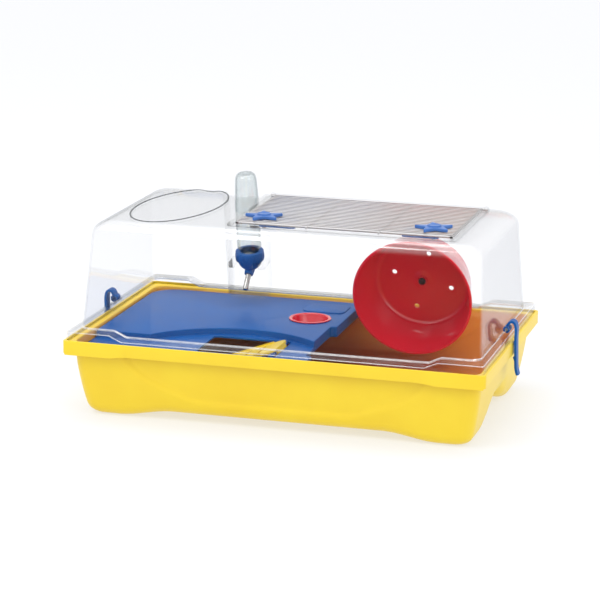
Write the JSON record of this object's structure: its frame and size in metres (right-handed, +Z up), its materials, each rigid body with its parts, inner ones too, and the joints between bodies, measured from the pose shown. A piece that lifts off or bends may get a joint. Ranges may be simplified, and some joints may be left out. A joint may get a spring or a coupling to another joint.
{
  "type": "hamster cage",
  "caption": "Small-animal cage: deep plastic tray, clear domed cover with a wire roof door, platform, ramp, exercise wheel and bottle.",
  "frame": {"origin": "on the ground under the middle of the tray", "axes": "+X along the length towards the wheel's end, +Y to the back wall that holds the wheel and bottle, +Z up"},
  "size_m": [0.599, 0.37, 0.2929],
  "materials": {
    "tray_yellow": "injection-moulded polypropylene, satin gloss",
    "cover_clear": "clear polystyrene, polished mould",
    "moulded_blue": "injection-moulded polypropylene, satin gloss",
    "moulded_red": "injection-moulded polystyrene, high gloss",
    "ramp_yellow": "injection-moulded polypropylene, satin gloss",
    "knob_blue": "injection-moulded polypropylene",
    "zinc_wire": "zinc-plated drawn steel wire",
    "dark_plastic": "moulded acetal",
    "bottle_clear": "clear blow-moulded PET",
    "seal_white": "silicone rubber",
    "spout_steel": "stainless steel tube and ball"
  },
  "bodies": {
    "tray": {"base_tray": "tray_yellow"},
    "platform": {"shelf_platform": "moulded_blue"},
    "bowl": {"food_bowl": "moulded_red"},
    "ramp_body": {"ramp": "ramp_yellow"},
    "cover": {"dome_cover": "cover_clear", "wheel_axle": "dark_plastic", "axle_nut": "dark_plastic", "axle_cap": "dark_plastic"},
    "roof_door": {"grille_frame": "zinc_wire", "grille_crossbars": "zinc_wire", "grille_wires": "zinc_wire", "latch_bush_left": "zinc_wire", "latch_bush_right": "zinc_wire"},
    "latch_left": {"star_knob_left": "knob_blue", "latch_tongue_left": "moulded_blue", "latch_screw_left": "spout_steel"},
    "latch_right": {"star_knob_right": "knob_blue", "latch_tongue_right": "moulded_blue", "latch_screw_right": "spout_steel"},
    "side_clip_left": {"clip_left": "moulded_blue"},
    "side_clip_right": {"clip_right": "moulded_blue"},
    "wheel": {"wheel_dish": "moulded_red"},
    "bottle": {"bottle_body": "bottle_clear", "bottle_cap": "moulded_blue", "bottle_seal": "seal_white", "spout_tube": "spout_steel"},
    "ball": {"spout_ball": "spout_steel"}
  },
  "joints": [
    {"name": "cover_lift", "type": "slide", "parent": "tray", "child": "cover", "axis": [0, 0, 1], "range_m": [0, 0.2]},
    {"name": "door_hinge", "type": "hinge", "parent": "cover", "child": "roof_door", "pos_m": [0.073, 0.1022, 0.2638], "axis": [-1, 0, 0], "range_deg": [0, 110]},
    {"name": "latch_left_turn", "type": "hinge", "parent": "roof_door", "child": "latch_left", "pos_m": [-0.0445, -0.062, 0.264], "axis": [0, 0, -1], "range_deg": [0, 90]},
    {"name": "latch_right_turn", "type": "hinge", "parent": "roof_door", "child": "latch_right", "pos_m": [0.1905, -0.062, 0.264], "axis": [0, 0, 1], "range_deg": [0, 90]},
    {"name": "clip_left_swing", "type": "hinge", "parent": "cover", "child": "side_clip_left", "pos_m": [-0.281, 0, 0.124], "axis": [0, 1, 0], "range_deg": [-4, 38]},
    {"name": "clip_right_swing", "type": "hinge", "parent": "cover", "child": "side_clip_right", "pos_m": [0.281, 0, 0.124], "axis": [0, -1, 0], "range_deg": [-4, 38]},
    {"name": "wheel_spin", "type": "hinge", "parent": "cover", "child": "wheel", "pos_m": [0.131, 0.14963, 0.1515], "axis": [0, -0.983, -0.1835], "continuous": true},
    {"name": "bottle_lift", "type": "slide", "parent": "cover", "child": "bottle", "axis": [0, -0.1835, 0.983], "range_m": [0, 0.15]},
    {"name": "ball_press", "type": "slide", "parent": "bottle", "child": "ball", "axis": [0, 0.6617, 0.7498], "range_m": [0, 0.0012]},
    {"name": "platform_lift", "type": "slide", "parent": "tray", "child": "platform", "axis": [0, 0, 1], "range_m": [0, 0.005]},
    {"name": "bowl_lift", "type": "slide", "parent": "platform", "child": "bowl", "axis": [0, 0, 1], "range_m": [0, 0.06]},
    {"name": "ramp_swing", "type": "hinge", "parent": "platform", "child": "ramp_body", "pos_m": [-0.017, -0.0825, 0.09], "axis": [0, 1, 0], "range_deg": [0, 8]}
  ]
}
